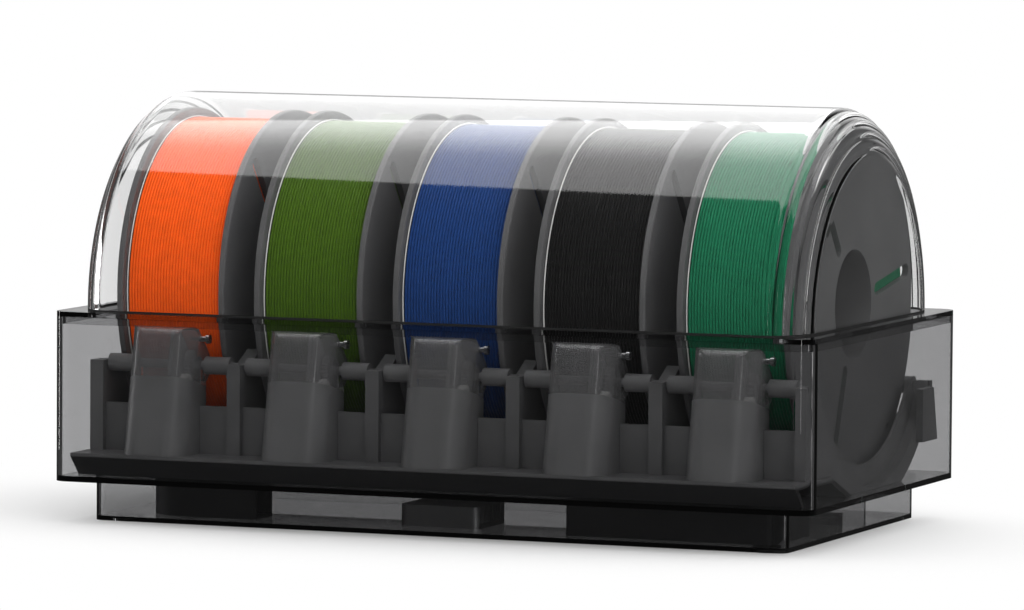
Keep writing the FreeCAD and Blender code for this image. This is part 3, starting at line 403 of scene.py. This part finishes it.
# Plinth: a shallow tray moulded in smoked clear plastic, which carries the tub and holds the
# blower, heater and control unit behind its walls. It stands on four pressed-in rubber pads.
smoked_plinth = clear_plastic("smoked_plinth", (0.70, 0.70, 0.705), absorbs=60.0, smear=0.02)
dress(["plinth"], smoked_plinth)
rubber = moulded("rubber", (0.018, 0.018, 0.018), rough=0.75, speck=0.0006, height=0.00004)
dress(["rubber_feet"], rubber)

# Plinth units: a snail-shaped blower, a finned heater block in its stream, a closed control unit
# and the power inlet at the back. Black mouldings and bare aluminium; screws and pins are steel.
black_plastic = moulded("black_plastic", (0.018, 0.018, 0.019), rough=0.42, speck=0.0008,
                        height=0.00003)
dress(["blower_housing", "control_box", "power_inlet", "hinge_brackets"], black_plastic)
rotor_black = moulded("rotor_black", (0.016, 0.016, 0.017), rough=0.35, speck=0.0008, height=0.00002)
dress(["blower_rotor"], rotor_black)
aluminium = bare_metal("aluminium", (0.62, 0.62, 0.63), rough=0.42, stroke=0.0006, along="X")
dress(["heater_core"], aluminium)
steel = bare_metal("steel", (0.66, 0.66, 0.67), rough=0.24, stroke=0.0004, along="X")
dress(["case_screws", "drive_motors", "cover_pins", "hinge_pins"], steel)

# Tub: the deep lower box, injection moulded in paler smoked clear plastic, with air slots in
# its floor. Screws through the floor hold the cradle ribs.
smoked_clear = clear_plastic("smoked_clear", (0.81, 0.81, 0.815), absorbs=60.0, smear=0.02)
dress(["tub"], smoked_clear)

# Cradle: a folded front shelf, six ribs that hold the roller journals, and a rear rail, all moulded
# in dark grey plastic with a fine spark-eroded grain. Near black is painted on the shelf's bevel below
# its lip as painted shade, standing in for the dark space under the shelf.
SHELF_PAINTED_SHADE = (0.018, 0.018, 0.019)
SHELF_SHADE_FULL_TOP = 0.0105
SHELF_SHADE_FADE_TOP = 0.0120

grey_plastic = moulded("grey_plastic", (0.105, 0.105, 0.107), rough=0.46, speck=0.0007, height=0.00003)
dress(["cradle_ribs", "rear_rail"], grey_plastic)
shelf_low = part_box("front_shelf")[0][2]
# The shelf's finish paints near black shade over its lowest band, for the shade under the shelf.
shelf_grey = moulded("shelf_grey", (0.102, 0.102, 0.104), rough=0.46, speck=0.0007, height=0.00003,
                     painted_shade_below=(SHELF_PAINTED_SHADE, shelf_low + SHELF_SHADE_FULL_TOP, shelf_low + SHELF_SHADE_FADE_TOP))
dress(["front_shelf"], shelf_grey)

# Drive towers: one leaning housing for each spool, with a small gear motor inside, a smoked cover
# over the gears and a bright pin at the cover's shoulder. The rollers carry the spools' flanges.
numbers = range(1, 6)
tower_grey = moulded("tower_grey", (0.130, 0.130, 0.132), rough=0.36, speck=0.0007, height=0.00002,
                     shine=0.5)
dress([f"drive_housing_{n}" for n in numbers], tower_grey)
smoked_cap = clear_plastic("smoked_cap", (0.52, 0.52, 0.525), absorbs=100.0, smear=0.04, haze=0.13)
dress([f"gear_cover_{n}" for n in numbers], smoked_cap)
roller_grey = moulded("roller_grey", (0.115, 0.115, 0.117), rough=0.40, speck=0.0009, height=0.00003)
dress([f"drive_roller_{n}" for n in numbers], roller_grey)
dress([f"rear_roller_{n}" for n in numbers], roller_grey)
gear_white = moulded("gear_white", (0.62, 0.62, 0.60), rough=0.40, speck=0.0008, height=0.00002)
dress([f"pinion_{n}" for n in numbers], gear_white)

# Spools: two slotted flanges on a hub, moulded in mid grey plastic with a satin face.
spool_grey = moulded("spool_grey", (0.088, 0.088, 0.090), rough=0.44, speck=0.0008, height=0.00003)
dress([f"spool_{n}" for n in numbers], spool_grey)

# Filament: extruded plastic thread wound side by side on each spool. The inner layers show as
# rows of half-round turns, and the top layer is one unbroken thread. A thin pale ring along its
# left edge is a painted highlight.
THREAD = 0.00175
TOP_TURNS = 32
STEPS_PER_TURN = 120
THREAD_SIDES = 10
END_TAPER = 0.35
HUB_RADIUS = 0.0332
BLOCK_STEPS = 96
RING_THICKNESS = 0.0008
RING_STEPS = 160
RING_SIDES = 8
MERGE_DISTANCE = 1e-6
FILAMENTS = {1: ("filament_orange", (0.90, 0.110, 0.005)),
             2: ("filament_olive_green", (0.052, 0.114, 0.005)),
             3: ("filament_blue", (0.008, 0.042, 0.170)),
             4: ("filament_black", (0.009, 0.009, 0.009)),
             5: ("filament_green", (0.009, 0.156, 0.073))}


def grid_mesh(name, *grids):
    """One closed mesh of (u, v, 3) grids, with quads between neighbours, wrapped where closed.

    Points that fall together at a pole are merged, and all faces are turned outwards."""
    points = []
    quads = []
    first = 0
    for grid, closed_u, closed_v in grids:
        rows, cols = grid.shape[:2]
        u = np.arange(rows if closed_u else rows - 1)[:, None]
        v = np.arange(cols if closed_v else cols - 1)[None, :]
        u1 = (u + 1) % rows
        v1 = (v + 1) % cols
        ring = np.stack([u * cols + v, u1 * cols + v, u1 * cols + v1, u * cols + v1], axis=-1)
        quads.append(first + ring.reshape(-1, 4))
        points.append(grid.reshape(-1, 3))
        first += rows * cols
    mesh = bpy.data.meshes.new(name)
    mesh.from_pydata(np.concatenate(points), [], np.concatenate(quads))
    shaped = bmesh.new()
    shaped.from_mesh(mesh)
    bmesh.ops.remove_doubles(shaped, verts=shaped.verts, dist=MERGE_DISTANCE)
    bmesh.ops.recalc_face_normals(shaped, faces=shaped.faces)
    shaped.to_mesh(mesh)
    shaped.free()
    mesh.shade_smooth()
    return mesh


def round_x(axis, x, r, angle):
    """Points at x along the axis, which lies along X, at distance r from it and turned by angle."""
    return np.stack([x, axis[1] + r * np.cos(angle), axis[2] + r * np.sin(angle)], axis=-1)


def wound_thread(axis, radius, half_length, turns, thread):
    """Helix about an axis along X, swept by a circle: along the helix u, round the thread v.

    The circle shrinks to a point at both ends, as a quarter of a circle does."""
    turn = np.linspace(0.0, 2.0 * np.pi * turns, STEPS_PER_TURN * turns + 1)[:, None]
    section = np.linspace(0.0, 2.0 * np.pi, THREAD_SIDES, endpoint=False)[None, :]
    ease = np.clip(np.minimum(turn, turn[::-1]) / END_TAPER, 0.0, 1.0)
    slim = thread / 2.0 * np.sqrt(1.0 - (1.0 - ease)**2)
    out = radius + slim * np.cos(section)
    x = axis[0] - half_length + 2.0 * half_length * turn / turn[-1] + slim * np.sin(section)
    return round_x(axis, x, out, turn)


def wound_block(axis, inner, outer, half_length, thread):
    """Ring about X whose outer and end faces are rows of half-round turns: profile u, angle v."""
    bulge = np.array([0.0, 0.25, 0.5, 0.75])
    crest = np.sqrt(1.0 - (2.0 * bulge - 1.0)**2) * thread / 2.0
    layers = int((outer - inner) / thread)
    across = int(2.0 * half_length / thread)
    rise = np.linspace(inner, outer - thread / 2.0, layers, endpoint=False)[:, None]
    rise = (rise + (outer - thread / 2.0 - inner) / layers * bulge).reshape(-1)
    run = np.linspace(-half_length, half_length, across, endpoint=False)[:, None]
    run = (run + 2.0 * half_length / across * bulge).reshape(-1)
    side = half_length - thread / 2.0 + np.tile(crest, layers)
    top = outer - thread / 2.0 + np.tile(crest, across)
    r = np.concatenate([rise, top, rise[::-1]])[:, None]
    x = np.concatenate([-side, run * (1.0 - thread / half_length / 2.0), side[::-1]])[:, None]
    angle = np.linspace(0.0, 2.0 * np.pi, BLOCK_STEPS, endpoint=False)[None, :]
    return round_x(axis, axis[0] + x + 0.0 * angle, r, angle)


def painted_highlight_ring(axis, x, radius, thickness):
    """Thin torus about X: angle round the axis u, angle round the ring's section v."""
    turn = np.linspace(0.0, 2.0 * np.pi, RING_STEPS, endpoint=False)[:, None]
    section = np.linspace(0.0, 2.0 * np.pi, RING_SIDES, endpoint=False)[None, :]
    out = radius + thickness / 2.0 * np.cos(section)
    return round_x(axis, x + thickness / 2.0 * np.sin(section) + 0.0 * turn, out, turn)


def add_piece(name, mesh, finish, body, slot, *stands_for):
    """Links a finished mesh as a piece that rides on a body and stands for CAD nodes."""
    piece = bpy.data.objects.new(name, mesh)
    scene.collection.objects.link(piece)
    mesh.materials.append(finish)
    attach(piece, body)
    if stands_for:
        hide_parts(*stands_for)


for n in numbers:
    low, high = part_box(f"filament_turns_{n}")
    spool_axis = [(a + b) / 2.0 for a, b in zip(low, high)]
    outer = (high[2] - low[2]) / 2.0
    half_length = (high[0] - low[0]) / 2.0
    slot_name, colour = FILAMENTS[n]
    finish = filament_finish(slot_name, colour)
    turns = wound_thread(spool_axis, outer - THREAD / 2.0, half_length - THREAD / 2.0, TOP_TURNS, THREAD)
    add_piece(f"wound_filament_{n}", grid_mesh(f"wound_filament_{n}", (turns, False, True)), finish,
              f"spool_{n}", slot_name, f"filament_turns_{n}")
    layers = wound_block(spool_axis, HUB_RADIUS, outer - THREAD / 2.0, half_length, THREAD)
    add_piece(f"inner_layers_{n}", grid_mesh(f"inner_layers_{n}", (layers, True, True)), finish,
              f"spool_{n}", slot_name, f"filament_core_{n}")
    # A thin pale ring along each winding's left edge: a painted highlight, not a part of the spool.
    ring = painted_highlight_ring(spool_axis, low[0] + RING_THICKNESS / 2.0, outer + RING_THICKNESS / 2.0,
                     RING_THICKNESS)
    add_piece(f"painted_highlight_ring_{n}", grid_mesh(f"painted_highlight_ring_{n}", (ring, True, True)), gear_white,
              f"spool_{n}", "gear_white")

# End webs: a thin lip in the cradle's grey plastic along the inner edge of both end ribs, which laps
# over the outer spools' flanges from outside. It is a dark sheet put in as painted shade below them.
WEB_INSIDE = 0.011
WEB_OUTSIDE = 0.002
WEB_SET_IN = 0.008
WEB_THICKNESS = 0.002
WEB_ROLLER_GAP = np.radians(4.0)
WEB_STEPS = 73
SHARP_ANGLE = np.radians(35.0)


def painted_shade_web(axis, inner, outer, x, thickness, start, end):
    """Ring sector about X: angle from start to end u, round its square section v, ends closed."""
    angle = np.linspace(start, end, WEB_STEPS)
    angle = np.concatenate([angle[:1], angle, angle[-1:]])[:, None]
    r = np.array([[inner, outer, outer, inner]]) + 0.0 * angle
    along = x + thickness * np.array([[0.0, 0.0, 1.0, 1.0]]) + 0.0 * angle
    r[[0, -1]] = (inner + outer) / 2.0
    along[[0, -1]] = x + thickness / 2.0
    return round_x(axis, along, r, angle)


# The five spools share one axis, so the last one's serves for the angles to the rollers.
low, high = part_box("spool_1")
flange_radius = (high[2] - low[2]) / 2.0
roller_angles = []
for name in ("drive_roller_1", "rear_roller_1"):
    low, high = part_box(name)
    across = (low[1] + high[1]) / 2.0 - spool_axis[1]
    up = (low[2] + high[2]) / 2.0 - spool_axis[2]
    roller_angles.append(np.arctan2(up, across))
rib_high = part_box("cradle_ribs")[1][0]
# Each web is a dark sheet of painted shade, lapping the outer flange between the two rollers.
for side, name in ((-1.0, "left"), (1.0, "right")):
    web = painted_shade_web(spool_axis, flange_radius - WEB_INSIDE, flange_radius + WEB_OUTSIDE,
                  side * (rib_high - WEB_SET_IN), side * WEB_THICKNESS,
                  roller_angles[0] + WEB_ROLLER_GAP, roller_angles[1] - WEB_ROLLER_GAP)
    web_mesh = grid_mesh(f"painted_shade_web_{name}", (web, False, True))
    web_mesh.set_sharp_from_angle(angle=SHARP_ANGLE)
    add_piece(f"painted_shade_web_{name}", web_mesh, grey_plastic, "base", "grey_plastic")

# Deck: a flat smoked frame pressed onto the tub's rim, with a rubber seal under the lid's edge.
smoked_deck = clear_plastic("smoked_deck", (0.78, 0.78, 0.785), absorbs=70.0, smear=0.03)
dress(["rim_frame"], smoked_deck)
dress(["lid_seal"], rubber)

# Lid: a clear half barrel whose ends fall off in rounded rings, moulded in one piece with two
# knuckles, and swung on two hinge pins at the back.
LID_WALL = 0.002
LID_END_DEPTH = 0.021
LID_END_DROP = 0.032
LID_RINGS = 6
LID_GROOVE = 0.0008
STEPS_PER_RING = 10
PLAIN_STEPS = 5
LID_STEPS = 145
HINGE_X = 0.110
KNUCKLE_BORE = 0.00105
KNUCKLE_HALF = 0.010
KNUCKLE_STEPS = 96
TINY = 1e-6


def half_barrel(centre, half_length, radius, wall):
    """Profile of the lid along X, u, turned half way round X, v: outer skin there, inner skin back.

    Each end is a quarter ellipse, and the outer one is pressed in by 1 - |sin| once per ring."""
    turn = np.linspace(0.0, np.pi / 2.0, LID_RINGS * STEPS_PER_RING + 1)
    ripple = 1.0 - np.abs(np.sin(2.0 * LID_RINGS * turn))
    ripple[:PLAIN_STEPS] = 0.0
    ripple[-PLAIN_STEPS:] = 0.0
    way = np.linspace(0.0, np.pi, LID_STEPS)[None, :]
    skins = []
    for inset, press, angle in ((0.0, LID_GROOVE, way), (wall, 0.0, way[:, ::-1])):
        depth = inset + press * ripple
        x = half_length - LID_END_DEPTH + (LID_END_DEPTH - depth) * np.sin(turn)
        r = radius - LID_END_DROP + (LID_END_DROP - depth) * np.cos(turn)
        x = np.append(x, x[-1])
        r = np.append(r, 0.0)
        x = np.append(-x[::-1], x)[:, None]
        r = np.append(r[::-1], r)[:, None]
        skins.append(round_x(centre, centre[0] + x + 0.0 * angle, r, angle))
    return np.concatenate(skins, axis=1)


def knuckle(x, pin, bore, reach_back, half_height, half_length):
    """Block round a hinge pin, square towards the lid and round behind: angle u, section v."""
    angle = np.linspace(0.0, 2.0 * np.pi, KNUCKLE_STEPS, endpoint=False)
    flat = np.minimum(reach_back / np.maximum(-np.cos(angle), TINY),
                      half_height / np.maximum(np.abs(np.sin(angle)), TINY))
    out = np.where(np.cos(angle) < 0.0, flat, half_height)[:, None]
    r = np.concatenate([out, out, 0.0 * out + bore, 0.0 * out + bore], axis=1)
    along = x + half_length * np.array([[-1.0, 1.0, 1.0, -1.0]])
    return round_x(pin, along + 0.0 * r, r, angle[:, None])


clear_dome = clear_plastic("clear_plastic", (0.99, 0.99, 0.99), absorbs=0.0, smear=0.015)
low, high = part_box("lid")
lid_radius = high[2] - low[2]
lid_centre = (0.0, low[1] + lid_radius, low[2])
lid_hinge = next(j for j in frame["record"]["behaviour"]["joints"] if j["name"] == "lid_hinge")
pin = lid_hinge["pos_m"]
barrel = half_barrel(lid_centre, high[0], lid_radius, LID_WALL)
reach_back = pin[1] - lid_centre[1] - lid_radius + LID_WALL / 2.0
knuckles = [knuckle(side * HINGE_X, pin, KNUCKLE_BORE, reach_back, high[1] - pin[1], KNUCKLE_HALF)
            for side in (-1, 1)]
lid_mesh = grid_mesh("clear_lid", (barrel, False, True), *[(k, True, True) for k in knuckles])
lid_mesh.set_sharp_from_angle(angle=SHARP_ANGLE)
add_piece("clear_lid", lid_mesh, clear_dome, "lid", "clear_plastic", "lid")
